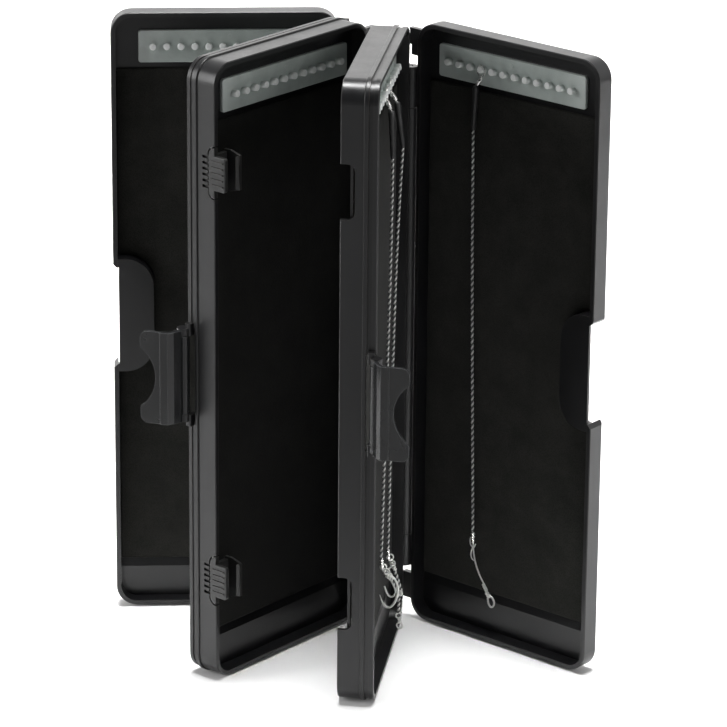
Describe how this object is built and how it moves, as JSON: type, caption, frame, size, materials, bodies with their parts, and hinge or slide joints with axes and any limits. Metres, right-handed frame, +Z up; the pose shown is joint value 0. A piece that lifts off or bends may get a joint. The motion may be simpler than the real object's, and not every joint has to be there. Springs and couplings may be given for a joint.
{
  "type": "rig box",
  "caption": "Hard tackle case that opens like a book, with foam-lined leaves, strips of pegs, press latches and swinging thumb clips.",
  "frame": {"origin": "centre of the case's standing footprint at the partly open pose, on the surface it stands on, measured without the hanging traces", "axes": "+Z up along the leaves' long sides; the right tray's plane runs along Y with its free edge towards -Y; +X to the right as seen from the free edges"},
  "size_m": [0.276, 0.164, 0.3466],
  "materials": {
    "shell_plastic": "satin moulded black plastic",
    "clip_plastic": "smooth dark grey plastic",
    "latch_plastic": "satin moulded plastic",
    "foam": "fine closed-cell foam",
    "peg_plastic": "frosted translucent plastic",
    "pin_steel": "drawn steel",
    "trace_metal": "bright nickel",
    "sleeve_rubber": "matt black rubber"
  },
  "bodies": {
    "tray_c": {"tray_c_shell": "shell_plastic", "tray_c_rim_frame": "shell_plastic", "tray_c_left_foam": "foam", "tray_c_right_foam": "foam", "tray_c_left_peg_strip": "peg_plastic", "tray_c_right_peg_strip": "peg_plastic", "hinge_pins_bc": "pin_steel", "hinge_pins_cd": "pin_steel", "clip_pin_c": "pin_steel", "trace_c1_swivel": "trace_metal", "trace_c1_sleeve": "sleeve_rubber", "trace_c1_wire": "trace_metal", "trace_c1_crimp": "trace_metal", "trace_c1_hook": "trace_metal", "trace_c2_swivel": "trace_metal", "trace_c2_sleeve": "sleeve_rubber", "trace_c2_wire": "trace_metal", "trace_c2_crimp": "trace_metal", "trace_c2_hook": "trace_metal"},
    "tray_b": {"tray_b_shell": "shell_plastic", "tray_b_rim_frame": "shell_plastic", "tray_b_left_foam": "foam", "tray_b_right_foam": "foam", "tray_b_left_peg_strip": "peg_plastic", "tray_b_right_peg_strip": "peg_plastic", "hinge_pins_ab": "pin_steel", "clip_pin_b": "pin_steel", "latch_pins": "pin_steel"},
    "lid_a": {"lid_a_shell": "shell_plastic", "lid_a_foam": "foam", "lid_a_peg_strip": "peg_plastic"},
    "lid_d": {"lid_d_shell": "shell_plastic", "lid_d_foam": "foam", "lid_d_peg_strip": "peg_plastic", "trace_d_swivel": "trace_metal", "trace_d_sleeve": "sleeve_rubber", "trace_d_wire": "trace_metal", "trace_d_crimp": "trace_metal", "trace_d_hook": "trace_metal"},
    "thumb_clip_b": {"thumb_clip_b": "clip_plastic"},
    "thumb_clip_c": {"thumb_clip_c": "clip_plastic"},
    "press_latch_upper": {"press_latch_upper": "latch_plastic"},
    "press_latch_lower": {"press_latch_lower": "latch_plastic"}
  },
  "joints": [
    {"name": "tray_b_hinge", "type": "hinge", "parent": "tray_c", "child": "tray_b", "pos_m": [0.00533, 0.06105, 0.1733], "axis": [0, 0, 1], "range_deg": [-117.4, 32.6]},
    {"name": "lid_a_hinge", "type": "hinge", "parent": "tray_b", "child": "lid_a", "pos_m": [-0.01152, 0.07183, 0.1733], "axis": [0, 0, -1], "range_deg": [-46.3, 133.7]},
    {"name": "lid_d_hinge", "type": "hinge", "parent": "tray_c", "child": "lid_d", "pos_m": [0.02533, 0.06105, 0.1733], "axis": [0, 0, 1], "range_deg": [-57.6, 122.4]},
    {"name": "thumb_clip_b_swing", "type": "hinge", "parent": "tray_b", "child": "thumb_clip_b", "pos_m": [-0.08181, -0.03753, 0.1733], "axis": [0, 0, 1], "range_deg": [-114, 6]},
    {"name": "thumb_clip_c_swing", "type": "hinge", "parent": "tray_c", "child": "thumb_clip_c", "pos_m": [0.02563, -0.06895, 0.1733], "axis": [0, 0, -1], "range_deg": [-97, 23]},
    {"name": "press_latch_upper_press", "type": "hinge", "parent": "tray_b", "child": "press_latch_upper", "pos_m": [-0.06517, -0.04307, 0.2878], "axis": [0, 0, 1], "range_deg": [0, 8], "stiffness_Nm_per_rad": 0.02, "springref_deg": -5.73},
    {"name": "press_latch_lower_press", "type": "hinge", "parent": "tray_b", "child": "press_latch_lower", "pos_m": [-0.06517, -0.04307, 0.0588], "axis": [0, 0, 1], "range_deg": [0, 8], "stiffness_Nm_per_rad": 0.02, "springref_deg": -5.73}
  ]
}
